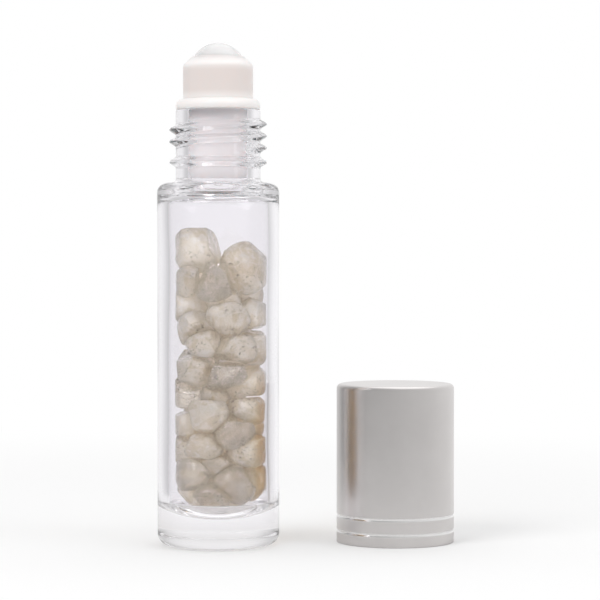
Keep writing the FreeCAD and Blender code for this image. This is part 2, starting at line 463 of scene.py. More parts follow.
@dataclass(frozen=True)
class Mark:
    """A mark in the quartz: its colour, the noises and levels that draw it, and its greatest share."""

    colour: Colour
    layers: tuple[tuple[Noise, Span], ...]
    most: float = 1.0

    def share(self, graph: Graph) -> Socket:
        """Share of the mark: the product of its layers, times its greatest share."""
        layers = (graph.span(graph.noise(noise), *levels) for noise, levels in self.layers)
        return graph.product(*layers, self.most)


@dataclass(frozen=True)
class Stain:
    """A stain on the chips: its colour, how far out it starts, and the width over which it comes and goes."""

    colour: Colour
    aside: float
    ragged: float


@dataclass(frozen=True)
class TumbledQuartz:
    """Milky quartz: cloudy and faceted, with veils, cracks, painted glints as pale flecks, dark specks and a
    rusty flank.
    """

    name: str = "milky_quartz"
    pale: Colour = (0.945, 0.875, 0.76)
    deep: Colour = (0.74, 0.65, 0.51)
    cloud: Noise = Noise(7.0)
    cloud_span: Span = (0.38, 0.62)
    cloud_levels: Span = (-0.25, 0.25)
    facet_size: float = 2.2
    facet_span: Span = (0.2, 0.8)
    facet_step: float = 0.4
    facet_drag: float = 1.2
    facet_noise: Noise = Noise(1.4)
    veil: Mark = Mark((0.97, 0.93, 0.86), ((Noise(2.6, 4.0, 0.6, 1.2), (0.50, 0.66)),), 0.8)
    crack: Mark = Mark((0.97, 0.93, 0.86), ((Noise(4.0), (0.45, 0.6)),), 0.8)
    crack_size: float = 3.2
    crack_width: float = 0.05
    cluster: Noise = Noise(4.5, 1.0)
    fine: Noise = Noise(0.5, 3.0, 0.65, 1.5)
    # Painted glints: warm white flecks in clusters
    painted_glint: Mark = Mark((1.0, 0.97, 0.91), ((fine, (0.44, 0.40)), (cluster, (0.53, 0.45))))
    speck: Mark = Mark((0.12, 0.09, 0.07), ((fine, (0.585, 0.62)), (cluster, (0.48, 0.56))))
    stains: tuple[Stain, ...] = (Stain((0.90, 0.76, 0.47), 4.6, 2.0), Stain((0.68, 0.41, 0.12), 5.7, 0.8))
    stain_noise: Noise = Noise(2.2, 3.0, 0.6)
    stain_heights: Span = (6.0, 30.0)
    stain_rise: float = 2.0
    stain_fall: float = 6.0
    stain_front: Span = (-1.0, 2.0)
    stain_share: float = 0.9
    relief: Noise = Noise(0.8, 4.0, 0.6, 0.8)
    relief_depth: float = 0.25
    wear: Noise = Noise(1.8, 3.0)
    wear_span: Span = (0.35, 0.7)
    gloss: Span = (0.12, 0.24)
    bend: float = 1.33
    soak: Colour = (3.0, 3.0, 3.0)
    clear_share: float = 0.65
    coat_gloss: float = 0.12
    coat_bend: float = 1.8
    lamp_share: Colour = (0.80, 0.76, 0.70)

    def material(self) -> Material:
        """The finish as a material: marks laid one over another on the facets, under a glassy coat."""
        material, graph = new_material(self.name)
        facet = self.facet(graph)
        cloud = graph.span(graph.noise(self.cloud), *self.cloud_span, *self.cloud_levels)
        colour = graph.blend(graph.math("ADD", facet, cloud), self.deep, self.pale)
        colour = graph.blend(self.veil.share(graph), colour, self.veil.colour)
        colour = graph.blend(self.cracked(graph), colour, self.crack.colour)
        # Painted glints laid into the colour
        colour = graph.blend(self.painted_glint.share(graph), colour, self.painted_glint.colour)
        for stain in self.stains:
            colour = graph.blend(self.stained(graph, stain), colour, stain.colour)
        colour = graph.blend(self.speck.share(graph), colour, self.speck.colour)
        uneven = graph.math("ADD", graph.noise(self.relief), graph.product(facet, self.facet_step))
        normal = graph.bump(uneven, self.relief_depth)
        rough = graph.span(graph.noise(self.wear), *self.wear_span, *self.gloss)
        quartz = graph.soaked(colour, rough, self.bend, self.soak, {
            "Transmission Weight": self.clear_share,
            "Coat Weight": 1.0,
            "Coat Roughness": self.coat_gloss,
            "Coat IOR": self.coat_bend,
            "Normal": normal,
            "Coat Normal": normal,
        })
        graph.finish(quartz, self.lamp_share)
        return material

    def facet(self, graph: Graph) -> Socket:
        """Tone of each broken facet: random cells, dragged about by a noise, each with one level.

        Args:
            graph: The graph that they are drawn in.

        Returns:
            The tone, 0 to 1.
        """
        moved = {0: graph.noise(self.facet_noise, "Color"), 1: (self.facet_drag * MM,) * 3, 2: graph.place()}
        place = graph.add("VectorMath", moved, operation="MULTIPLY_ADD").outputs[0]
        cells = graph.add("TexVoronoi", {"Vector": place, "Scale": 1 / (self.facet_size * MM)})
        return graph.span(cells.outputs["Color"], *self.facet_span)

    def cracked(self, graph: Graph) -> Socket:
        """Share of pale fracture lines: the edges of random cells, where a slow noise lets them show.

        Args:
            graph: The graph that they are drawn in.

        Returns:
            The share, 0 to 1.
        """
        values = {"Vector": graph.place(), "Scale": 1 / (self.crack_size * MM)}
        edge = graph.add("TexVoronoi", values, feature="DISTANCE_TO_EDGE").outputs["Distance"]
        return graph.product(graph.span(edge, self.crack_width, 0.0), self.crack.share(graph))

    def stained(self, graph: Graph, stain: Stain) -> Socket:
        """Share of a stain: a ragged strip up the front of the flank that lies against the glass at +X.

        Args:
            graph: The graph that it is drawn in.
            stain: The stain.

        Returns:
            The share, 0 to 1.
        """
        sway = graph.product(graph.noise(self.stain_noise), stain.ragged * MM)
        ends = (stain.aside * MM, (stain.aside + 2 * stain.ragged) * MM)
        flank = graph.span(graph.math("ADD", graph.along("X"), sway), *ends)
        height = graph.band("Z", self.stain_heights, self.stain_rise, self.stain_fall)
        front = graph.span(graph.along("Y"), *(end * MM for end in self.stain_front), self.stain_share, 0.0)
        return graph.product(flank, height, front)


# Pieces


@dataclass(frozen=True)
class Thread:
    """A screw thread: a rounded ridge that climbs round a wall."""

    pitch: float
    depth: float
    width: float
    start_height: float
    start_degrees: float
    degrees: float
    fade_degrees: float = 32.0
    crest_power: float = 0.8
    end_power: float = 0.6

    def relief(self, angles: Array, heights: Array) -> Array:
        """How far the ridge stands out: depth times a raised cosine across its width, fading at both ends.

        Args:
            angles: Angles in radians, as a column.
            heights: Heights, as a row.

        Returns:
            The relief at each angle and height.
        """
        turned_degrees = (np.degrees(angles) - self.start_degrees) % 360
        result = np.zeros(np.broadcast_shapes(angles.shape, heights.shape))
        for turn in range(math.ceil(self.degrees / 360) + 1):
            along = turned_degrees + 360 * turn
            crest = self.start_height + self.pitch * along / 360
            across = np.clip(np.abs(heights - crest) / (self.width / 2), 0, 1)
            ends = np.clip(np.minimum(along, self.degrees - along) / self.fade_degrees, 0, 1)
            ridge = (0.5 + 0.5 * np.cos(math.pi * across)) ** self.crest_power * ends ** self.end_power
            result = np.maximum(result, self.depth * ridge)
        return result


@dataclass
class GlassBottle:
    """The moulded bottle: heavy base, straight body, flat shoulder, and a screw neck with a bead."""

    node: str = "glass_bottle"
    wall: float = 1.85
    heel_radius: float = 2.0
    stand_width: float = 0.9
    stand_edge: float = 0.25
    punt_depth: float = 0.6
    base_thickness: float = 4.4
    bowl_depth: float = 2.7
    bowl_edge: float = 0.5
    shoulder_radius: float = 1.7
    shoulder_step: float = 3.05
    shoulder_wall: float = 2.0
    cavity_corner: float = 1.6
    neck_height: float = 11.9
    neck_wall: float = 2.0
    neck_root: float = 0.7
    bore_root: float = 0.6
    mouth_edge: float = 0.35
    finish_depth: float = 1.05
    bead_height: float = 3.3
    bead_width: float = 1.9
    bead_fade_degrees: float = 0.01
    thread_height: float = 5.40
    thread_width: float = 1.75
    thread_pitch: float = 1.95
    thread_start_degrees: float = -47.0
    thread_degrees: float = 830.0
    wave_outside: float = 0.012
    wave_inside: float = 0.04
    wave_fade: float = 6.0
    wave_parts: tuple[tuple[int, float, float], ...] = ((2, 11.0, 1.0), (3, -7.0, 0.6), (5, 4.0, 0.4))
    angle_count: int = 240
    # The darker base tint is painted shade of the shadowed floor seen through the glass
    glass: ClearGlass = ClearGlass("bottle_glass", base=(0.81, 0.80, 0.805))

    def __post_init__(self) -> None:
        """Takes the overall sizes from the frame."""
        high = node_box(self.node)[1]
        self.radius = float(high[0])
        self.mouth = float(high[2])
        self.shoulder = self.mouth - self.neck_height
        self.cavity = self.radius - self.wall
        self.ceiling = self.shoulder - self.shoulder_wall
        self.neck = self.radius - self.shoulder_step
        self.bore = self.neck - self.neck_wall
        self.thread = Thread(
            self.thread_pitch, self.finish_depth, self.thread_width, self.shoulder + self.thread_height,
            self.thread_start_degrees, self.thread_degrees,
        )
        self.bead = Thread(
            0.0, self.finish_depth, self.bead_width, self.shoulder + self.bead_height,
            0.0, 360.0, self.bead_fade_degrees,
        )

    def outside(self) -> Array:
        """The outer half section, from the middle of the underside up to the top of the mouth."""
        stand = self.radius - self.heel_radius
        punt = stand - self.stand_width
        edge = self.stand_edge
        bend = (self.punt_depth ** 2 + punt ** 2) / (2 * self.punt_depth)
        round_shoulder = (self.radius - self.shoulder_radius, self.shoulder - self.shoulder_radius)
        root = (self.neck + self.neck_root, self.shoulder + self.neck_root)
        lip = (self.neck - self.mouth_edge, self.mouth - self.mouth_edge)
        return drawn(
            (0, self.punt_depth),
            (punt - edge, edge / 4, 14, (0, self.punt_depth - bend)),
            (punt + edge, 0, 4, (punt + edge, 4 * edge)),
            (stand, 0, 2),
            (self.radius, self.heel_radius, 12, (stand, self.heel_radius)),
            (self.radius, round_shoulder[1], 40),
            (round_shoulder[0], self.shoulder, 12, round_shoulder),
            (root[0], self.shoulder, 2),
            (self.neck, root[1], 6, root),
            (self.neck, lip[1], 108),
            (lip[0], self.mouth, 6, lip),
        )

    def inside(self) -> Array:
        """The inner half section, from the top of the mouth down to the middle of the dished floor."""
        bowl = (self.cavity ** 2 + self.bowl_depth ** 2) / (2 * self.bowl_depth)
        bowl_centre = self.base_thickness + bowl
        edge = self.cavity - self.bowl_edge
        edge_height = bowl_centre - math.sqrt((bowl - self.bowl_edge) ** 2 - edge ** 2)
        floor_share = bowl / (bowl - self.bowl_edge)
        floor = (edge * floor_share, bowl_centre - (bowl_centre - edge_height) * floor_share)
        lip = (self.bore + self.mouth_edge, self.mouth - self.mouth_edge)
        root = (self.bore + self.bore_root, self.ceiling + self.bore_root)
        corner = (self.cavity - self.cavity_corner, self.ceiling - self.cavity_corner)
        return drawn(
            (lip[0], self.mouth),
            (self.bore, lip[1], 6, lip),
            (self.bore, root[1], 16),
            (root[0], self.ceiling, 6, root),
            (corner[0], self.ceiling, 3),
            (self.cavity, corner[1], 9, corner),
            (self.cavity, edge_height, 36),
            (*floor, 6, (edge, edge_height)),
            (0, self.base_thickness, 16, (0, bowl_centre)),
        )

    def waves(self, angles: Array, section: Array, depth: float) -> Array:
        """Faint waves in a straight wall: a sum of three cosines of angle and height, held off the ends.

        Args:
            angles: Angles of the turn.
            section: Half section of the wall.
            depth: Depth of the waves.

        Returns:
            What they add to the radius, by angle and row.
        """
        turn = angles[:, None]
        height = section[None, :, 1]
        foot = np.clip((height - self.base_thickness - self.bowl_depth) / self.wave_fade, 0, 1)
        head = np.clip((self.ceiling - self.cavity_corner - height) / self.wave_fade, 0, 1)
        parts = [share * np.cos(count * turn + height / length) for count, length, share in self.wave_parts]
        sway = np.sum(parts, axis=0)
        return depth * sway * foot * head

    def build(self) -> Piece:
        """Makes the bottle as one turned skin, with the thread and the bead raised on the neck."""
        angles = around(self.angle_count)
        outside = self.outside()
        inside = self.inside()
        heights = outside[None, :, 1]
        turn = angles[:, None]
        on_neck = (heights > self.shoulder + self.neck_root) & (heights < self.mouth - self.mouth_edge)
        ridges = np.maximum(self.thread.relief(turn, heights), self.bead.relief(turn, heights))
        outer = turned(outside, angles, ridges * on_neck + self.waves(angles, outside, self.wave_outside))
        inner = turned(inside, angles, self.waves(angles, inside, self.wave_inside))
        return skin("bottle_glass", np.concatenate((outer, inner), axis=1))

    def dress(self, piece: Piece) -> None:
        """Gives the bottle its glass."""
        piece.data.materials.append(self.glass.material())
        settle(piece, Body.BOTTLE, Slot.BOTTLE_GLASS, self.node)


@dataclass
class RollerFitment:
    """The fitment: a ribbed hollow plug, a flange, and a cage with a coned lip that holds the ball."""

    node: str = "roller_housing"
    ball_node: str = "roller_ball"
    bottle_node: str = "glass_bottle"
    flange_thickness: float = 1.7
    flange_edge: float = 1.0
    cage_wall: float = 1.05
    cage_height: float = 5.6
    cage_edge: float = 0.35
    corner: float = 0.15
    ball_clearance: float = 0.08
    lip_rim: float = 0.22
    seat_thickness: float = 1.0
    feed_hole: float = 1.6
    feed_slot_count: int = 4
    feed_slot_width: float = 0.8
    feed_slot_reach: float = 2.8
    plug_radius: float = 4.8
    plug_wall: float = 1.0
    plug_lead_length: float = 1.2
    plug_lead_depth: float = 0.35
    rib_count: int = 3
    rib_width: float = 0.7
    rib_margin: float = 1.8
    rib_depth: float = 0.12
    rib_shares: tuple[Span, ...] = ((-0.25, 0.8), (0.0, 1.0), (0.25, 0.8), (0.5, 0.0))
    edge_rows: int = 7
    pocket_rows: int = 28
    seat_rows: int = 5
    angle_count: int = 216
    sharp_degrees: float = 40.0
    # The darker band on the cage is painted shade of the ball's hollow seen through the wall
    plastic: MouldedPlastic = MouldedPlastic(
        "natural_polyethylene", (0.925, 0.89, 0.875), (0.905, 0.865, 0.85), (1.0, 1.15, 1.2),
        gloss=(0.33, 0.44), painted_shade=(0.79, 0.725, 0.70), painted_shade_heights=(73.0, 79.0),
    )

    def __post_init__(self) -> None:
        """Takes the overall sizes from the frame."""
        low, high = node_box(self.node)
        ball_low, ball_high = node_box(self.ball_node)
        self.flange = float(high[0])
        self.plug_end = float(low[2])
        self.lip_top = float(high[2])
        self.mouth = float(node_box(self.bottle_node)[1][2])
        self.ball_height = float(ball_low[2] + ball_high[2]) / 2
        self.pocket = float(ball_high[2] - ball_low[2]) / 2 + self.ball_clearance

    def outside(self) -> Array:
        """The outer half section, plug's end to lip's rim. A parabola rounds the cage's edge."""
        flange_top = self.mouth + self.flange_thickness
        cage = self.pocket + self.cage_wall
        first_rib = self.plug_end + self.plug_lead_length + self.rib_margin
        rim = math.sqrt(self.pocket ** 2 - (self.lip_top - self.ball_height) ** 2)
        low_edge = (self.flange - self.corner, self.mouth + self.corner)
        high_edge = (self.flange - self.flange_edge, flange_top - self.flange_edge)
        root = (cage + self.corner, flange_top + self.corner)
        ribs = []
        for middle in np.linspace(first_rib, self.mouth - self.rib_margin, self.rib_count):
            ribs.append((self.plug_radius, middle - self.rib_width / 2, 3))
            for along, rise in self.rib_shares:
                ribs.append((self.plug_radius + self.rib_depth * rise, middle + self.rib_width * along, 1))
        corner = np.array([cage, flange_top + self.cage_height])
        cone = np.array([rim + self.lip_rim, self.lip_top]) - corner
        cone /= np.linalg.norm(cone)
        share = np.linspace(0, 1, self.edge_rows)[:, None]
        bend = corner + self.cage_edge * (share ** 2 * cone - (1 - share) ** 2 * np.array([0, 1]))
        return drawn(
            (self.plug_radius - self.plug_lead_depth, self.plug_end),
            (self.plug_radius, self.plug_end + self.plug_lead_length, 2),
            *ribs,
            (self.plug_radius, self.mouth, 3),
            (low_edge[0], self.mouth, 2),
            (self.flange, low_edge[1], 3, low_edge),
            (self.flange, high_edge[1], 2),
            (high_edge[0], flange_top, 8, high_edge),
            (root[0], flange_top, 1),
            (cage, root[1], 3, root),
            (*bend[0], 12),
            *((*point, 1) for point in bend[1:]),
            (rim + self.lip_rim, self.lip_top - self.corner / 2, 4),
            (rim + self.lip_rim / 2, self.lip_top, 1),
        )

    def hole(self, angles: Array) -> Array:
        """Radius of the feed hole: round, with the slots' straight sides where they reach out.

        Args:
            angles: Angles of the turn.

        Returns:
            The radius at each angle.
        """
        spacing = TURN / self.feed_slot_count
        aside = np.abs((angles + spacing / 2) % spacing - spacing / 2)
        slot = self.feed_slot_width / 2 / np.maximum(np.sin(aside), TINY)
        return np.maximum(self.feed_hole, np.minimum(self.feed_slot_reach, slot))

    def inside(self, angles: Array) -> Array:
        """The inner half section by angle: ball pocket, feed hole, seat's underside and plug's hollow.

        Args:
            angles: Angles of the turn.

        Returns:
            Radius and height, by angle and row.
        """
        hole = self.hole(angles)[:, None]
        hollow = self.plug_radius - self.plug_wall
        underside = self.ball_height - self.pocket - self.seat_thickness
        rim_angle = math.acos(-(self.lip_top - self.ball_height - self.corner / 2) / self.pocket)
        polar = rim_angle + (np.arcsin(hole / self.pocket) - rim_angle) * np.linspace(0, 1, self.pocket_rows)
        pocket = self.pocket * np.stack((np.sin(polar), -np.cos(polar)), axis=-1) + (0, self.ball_height)
        across = hole + (hollow - hole) * np.linspace(0, 1, self.seat_rows)
        seat = np.stack((across, np.full_like(across, underside)), axis=-1)
        wall = drawn((hollow, underside), (hollow, self.plug_end, 10))[1:]
        return np.concatenate((pocket, seat, np.broadcast_to(wall, (len(angles), *wall.shape))), axis=1)

    def angles(self) -> Array:
        """Even angles, with more of them beside the edges of the feed slots."""
        edges = np.arcsin(self.feed_slot_width / 2 / np.array([self.feed_hole, self.feed_slot_reach]))
        near = around(self.feed_slot_count)[:, None] + np.concatenate((-edges, edges))
        return np.unique(np.round(np.concatenate((around(self.angle_count), near.ravel() % TURN)), 6))

    def build(self) -> Piece:
        """Makes the fitment as one closed ring of rows."""
        angles = self.angles()
        outside = self.outside()
        outer = np.broadcast_to(outside, (len(angles), *outside.shape))
        section = np.concatenate((outer, self.inside(angles)), axis=1)
        return skin("fitment_housing", turned(section, angles), ring=True, sharp=self.sharp_degrees)

    def dress(self, piece: Piece) -> None:
        """Gives the fitment its plastic."""
        piece.data.materials.append(self.plastic.material())
        settle(piece, Body.FITMENT, Slot.NATURAL_PLASTIC, self.node)


def sphere(row_count: int, angle_count: int) -> Array:
    """Ways to all sides: (sin p cos t, sin p sin t, -cos p), by angle t and polar angle p."""
    polar = np.linspace(0, math.pi, row_count)
    return turned(np.stack((np.sin(polar), -np.cos(polar)), axis=1), around(angle_count))


@dataclass
class RollerBall:
    """The milky glass ball in the cage."""

    node: str = "roller_ball"
    row_count: int = 72
    angle_count: int = 144
    glass: ClearGlass = ClearGlass("ball_glass", (0.99, 0.94, 0.935), 1.5, 0.02, 0.72, 0.6)

    def build(self) -> Piece:
        """Makes the ball: its radius times the ways to all sides, about its centre."""
        low, high = node_box(self.node)
        radius = (high[2] - low[2]) / 2
        return skin("rolling_ball", radius * sphere(self.row_count, self.angle_count) + (low + high) / 2)

    def dress(self, piece: Piece) -> None:
        """Gives the ball its glass."""
        piece.data.materials.append(self.glass.material())
        settle(piece, Body.BALL, Slot.BALL_GLASS, self.node)


@dataclass
class ScrewCap:
    """The cap: a drawn metal sleeve with two bright cut grooves, and a moulded inner cap with its thread."""

    sleeve_node: str = "cap_shell"
    inner_node: str = "cap_liner"
    sleeve_wall: float = 0.45
    top_edge: float = 0.8
    rim_edge: float = 0.12
    groove_heights: Span = (4.5, 2.0)
    groove_width: float = 0.5
    groove_depth: float = 0.14
    groove_floor: float = 0.125
    inner_wall: float = 0.9
    inner_top: float = 1.2
    inner_lead: float = 0.4
    skirt_depth: float = 13.9
    chamber: float = 7.35
    presser_radius: float = 2.8
    presser_wall: float = 0.8
    presser_length: float = 2.55
    angle_count: int = 256
    sleeve_sharp_degrees: float = 25.0
    inner_sharp_degrees: float = 40.0
    thread: Thread = Thread(1.95, 0.95, 1.5, 5.6, 0.0, 700.0)
    satin: SatinMetal = SatinMetal("satin_aluminium", (0.745, 0.72, 0.71), (0.715, 0.69, 0.68), (0.28, 0.33))
    bright: SatinMetal = SatinMetal(
        "bright_cut_aluminium", (0.92, 0.915, 0.91), (0.90, 0.895, 0.89), (0.14, 0.19),
    )
    plastic: MouldedPlastic = MouldedPlastic(
        "inner_cap_polypropylene", (0.84, 0.84, 0.83), (0.80, 0.80, 0.79), (0.8, 0.8, 0.75), 0.6,
    )

    def __post_init__(self) -> None:
        """Takes the overall sizes and the place from the frame."""
        low, high = node_box(self.sleeve_node)
        inner_low, inner_high = node_box(self.inner_node)
        self.axis = np.array([(low[0] + high[0]) / 2, (low[1] + high[1]) / 2, 0.0])
        self.radius = float(high[0] - low[0]) / 2
        self.height = float(high[2])
        self.skirt = float(inner_high[0] - inner_low[0]) / 2
        self.inner_foot = float(inner_low[2])
        self.inner_height = float(inner_high[2])

    def sleeve_section(self) -> Array:
        """The sleeve's half section, from the middle of the top down the outside and up the inside."""
        inside = self.radius - self.sleeve_wall
        floor = self.radius - self.groove_depth
        rim = (self.radius - self.rim_edge, self.rim_edge)
        edge = (self.radius - self.top_edge, self.height - self.top_edge)
        grooves = []
        for middle in self.groove_heights:
            grooves.append((self.radius, middle + self.groove_width / 2, 6))
            grooves.append((floor, middle + self.groove_floor / 2, 1))
            grooves.append((floor, middle - self.groove_floor / 2, 1))
            grooves.append((self.radius, middle - self.groove_width / 2, 1))
        return drawn(
            (0, self.height),
            (edge[0], self.height, 6),
            (self.radius, edge[1], 10, edge),
            *grooves,
            (self.radius, rim[1], 3),
            (rim[0], 0, 3, rim),
            (inside, 0, 1),
            (inside, edge[1], 8),
            (edge[0], self.height - self.sleeve_wall, 5, edge),
            (0, self.height - self.sleeve_wall, 3),
        )

    def inner_section(self) -> Array:
        """The inner cap's half section, from the middle of its top down the outside and up the inside."""
        wall = self.skirt - self.inner_wall
        chamber_outside = self.chamber + self.inner_wall
        ledge = self.skirt_depth + self.inner_wall
        underside = self.inner_height - self.inner_top
        presser_end = underside - self.presser_length
        presser_inside = self.presser_radius - self.presser_wall
        return drawn(
            (0, self.inner_height),
            (chamber_outside, self.inner_height, 4),
            (chamber_outside, ledge, 3),
            (self.skirt, ledge, 1),
            (self.skirt, self.inner_foot, 3),
            (wall + self.inner_lead, self.inner_foot, 1),
            (wall, self.inner_foot + self.inner_lead, 1),
            (wall, self.skirt_depth, 124),
            (self.chamber, self.skirt_depth, 1),
            (self.chamber, underside, 4),
            (self.presser_radius, underside, 3),
            (self.presser_radius, presser_end, 2),
            (presser_inside, presser_end, 1),
            (presser_inside, underside, 2),
            (0, underside, 2),
        )

    def build(self) -> tuple[Piece, Piece]:
        """Makes the sleeve and the inner cap as turned skins.

        Returns:
            The sleeve, and the inner cap.
        """
        angles = around(self.angle_count)
        points = turned(self.sleeve_section(), angles) + self.axis
        sleeve = skin("cap_sleeve", points, sharp=self.sleeve_sharp_degrees)
        section = self.inner_section()
        wall = self.skirt - self.inner_wall
        threaded = np.isclose(section[:, 0], wall) & (section[:, 1] < self.skirt_depth)
        bulge = -self.thread.relief(angles[:, None], section[None, :, 1]) * threaded
        points = turned(section, angles, bulge) + self.axis
        return sleeve, skin("inner_cap", points, sharp=self.inner_sharp_degrees)

    def dress(self, sleeve: Piece, inner: Piece) -> None:
        """Gives the sleeve its satin and its bright grooves, and the inner cap its plastic.

        Args:
            sleeve: The metal sleeve.
            inner: The moulded inner cap.
        """
        sleeve.data.materials.append(self.satin.material())
        sleeve.data.materials.append(self.bright.material())
        count = len(sleeve.data.polygons)
        middles = np.empty(count * 3)
        sleeve.data.polygons.foreach_get("center", middles)
        middles = middles.reshape(-1, 3) / MM - self.axis
        outside = np.hypot(middles[:, 0], middles[:, 1]) > self.radius - self.sleeve_wall / 2
        apart = np.abs(middles[:, 2:] - np.array(self.groove_heights))
        cut = outside & np.any(apart < self.groove_width / 2, axis=1)
        sleeve.data.polygons.foreach_set("material_index", cut.astype(np.int32))
        inner.data.materials.append(self.plastic.material())
        settle(sleeve, Body.CAP, Slot.SATIN_ALUMINIUM, self.sleeve_node)
        settle(inner, Body.CAP, Slot.INNER_CAP_PLASTIC, self.inner_node)


@dataclass
class QuartzPile:
    """The tumbled chips, each a rounded stone inside its own solid."""

    nodes: dict[str, Piece]
    row_count: int = 48
    angle_count: int = 96
    fill: float = 1.03
    most_fill: float = 1.02
    soften_degrees: float = 9.0
    lump_count: int = 9
    lump_depth: float = 0.016
    lump_beats: Span = (2.5, 15.0)
    flat_count: int = 9
    flat_shares: Span = (0.86, 0.99)
    flat_edge: float = 80.0
    least_flat_cosine: float = 0.05
    least_cosine: float = 1e-3
    least_area: float = 1e-3
    seed: int = 5
    clear_every: int = 4
    milky: TumbledQuartz = TumbledQuartz()
    clear: TumbledQuartz = TumbledQuartz("clear_quartz", bend=1.42, clear_share=0.90, gloss=(0.03, 0.15))

    def planes(self, node: Piece) -> tuple[Array, Array, Array]:
        """The planes that bound a chip's solid.

        Args:
            node: The chip's node.

        Returns:
            The chip's centre, and each plane's normal and distance from the centre.
        """
        mesh = node.data
        mesh.calc_loop_triangles()
        corners = np.empty(len(mesh.vertices) * 3, np.float32)
        triangles = np.empty(len(mesh.loop_triangles) * 3, np.int32)
        mesh.vertices.foreach_get("co", corners)
        mesh.loop_triangles.foreach_get("vertices", triangles)
        points = corners.reshape(-1, 3).astype(float) / MM
        centre = (points.min(axis=0) + points.max(axis=0)) / 2
        a, b, c = (points[triangles.reshape(-1, 3)[:, corner]] - centre for corner in range(3))
        normals = np.cross(b - a, c - a)
        area = np.linalg.norm(normals, axis=1)
        kept = area > self.least_area
        normals = normals[kept] / area[kept, None]
        normals = normals[np.unique(np.round(normals, 1), axis=0, return_index=True)[1]]
        return centre, normals, np.max((points - centre) @ normals.T, axis=0)

    def reach(self, ways: Array, normals: Array, distance: Array) -> Array:
        """How far a chip reaches each way: the nearest plane's distance over the cosine to its normal.

        Args:
            ways: Unit directions, as rows.
            normals: Normals of the planes.
            distance: Distances of the planes.

        Returns:
            The reach along each way.
        """
        facing = ways @ normals.T
        met = distance / np.maximum(facing, self.least_cosine)
        return np.min(np.where(facing > self.least_cosine, met, np.inf), axis=1)

    def softener(self, ways: Array, share: Array) -> Array:
        """Weights of a mean over ways: a bell over the angle between them, times each one's share."""
        weights = np.exp((ways @ ways.T - 1) / math.radians(self.soften_degrees) ** 2) * share
        return weights / weights.sum(axis=1, keepdims=True)

    def nearer(self, first: Array, second: Array) -> Array:
        """The lesser of two reaches, with a worn edge where they meet: a mean of a high negative power."""
        return (first ** -self.flat_edge + second ** -self.flat_edge) ** (-1 / self.flat_edge)

    def stone(self, ways: Array, solid: Array, soft: Array, draw: np.random.Generator) -> Array:
        """Reach of a tumbled stone: the softened solid with lumps and worn flats, held to the solid's reach.

        Args:
            ways: Unit directions, as rows.
            solid: The solid's reach along each way.
            soft: Its mean over neighbouring ways.
            draw: Random numbers for the lumps and flats.

        Returns:
            The stone's reach along each way.
        """
        reach = self.fill * soft
        for _ in range(self.lump_count):
            facing = ways @ random_way(draw)
            beat = draw.uniform(*self.lump_beats)
            depth = self.lump_depth * 2 * self.lump_beats[0] / (self.lump_beats[0] + beat)
            reach *= 1 + depth * np.cos(beat * facing + draw.uniform(0, TURN))
        for _ in range(self.flat_count):
            facing = ways @ random_way(draw)
            distance = reach[np.argmax(facing)] * draw.uniform(*self.flat_shares)
            reach = self.nearer(reach, distance / np.maximum(facing, self.least_flat_cosine))
        return self.nearer(reach, self.most_fill * solid)

    def build(self) -> list[Piece]:
        """Makes every chip as a grid of reaches about its centre, round and from pole to pole."""
        grid = sphere(self.row_count, self.angle_count)
        ways = grid.reshape(-1, 3)
        names = sorted(node for node in self.nodes if node.startswith("crystal_chip"))
        solids = [self.planes(self.nodes[name]) for name in names]
        solid_reach = np.stack([self.reach(ways, *planes) for _, *planes in solids], axis=1)
        soft_reach = self.softener(ways, np.hypot(ways[:, 0], ways[:, 1])) @ solid_reach
        draw = np.random.default_rng(self.seed)
        pieces = []
        for number, name in enumerate(names):
            reach = self.stone(ways, solid_reach[:, number], soft_reach[:, number], draw)
            points = solids[number][0] + grid * reach.reshape(grid.shape[:2])[..., None]
            pieces.append(skin(name.replace("crystal", "quartz"), points))
        return pieces

    def dress(self, pieces: list[Piece]) -> None:
        """Gives the chips their quartz: one in every few is clearer than the rest."""
        milky = self.milky.material()
        clear = self.clear.material()
        for number, piece in enumerate(pieces):
            piece.data.materials.append(milky if number % self.clear_every else clear)
            settle(piece, Body.BOTTLE, Slot.CRYSTAL, piece.name.replace("quartz", "crystal"))


def random_way(draw: np.random.Generator) -> Array:
    """A unit direction drawn at random."""
    way = draw.normal(size=3)
    return way / np.linalg.norm(way)


# Stage


@dataclass(frozen=True)
class Lamp:
    """One soft panel lamp, aimed at the middle of the object."""

    name: str
    place: Place
    size: float
    level: float
    mirrored: bool = False

    def build(self, aim: Vector, lit: bpy.types.Collection | None = None) -> None:
        """Hangs the lamp, with the power that gives its level of light at the aim.

        Args:
            aim: The point that it faces.
            lit: What it shines on, or None for everything.
        """
        offset = aim - Vector(self.place)
        lamp = bpy.data.lights.new(self.name, "AREA")
        lamp.shape = "DISK"
        lamp.size = self.size * MM
        lamp.energy = self.level * (math.pi * offset.length * MM) ** 2
        lamp_object = bpy.data.objects.new(self.name, lamp)
        lamp_object.location = Vector(self.place) * MM
        lamp_object.rotation_euler = offset.to_track_quat("-Z", "Y").to_euler()
        lamp_object.visible_glossy = self.mirrored
        lamp_object.light_linking.receiver_collection = lit
        bpy.context.scene.collection.objects.link(lamp_object)


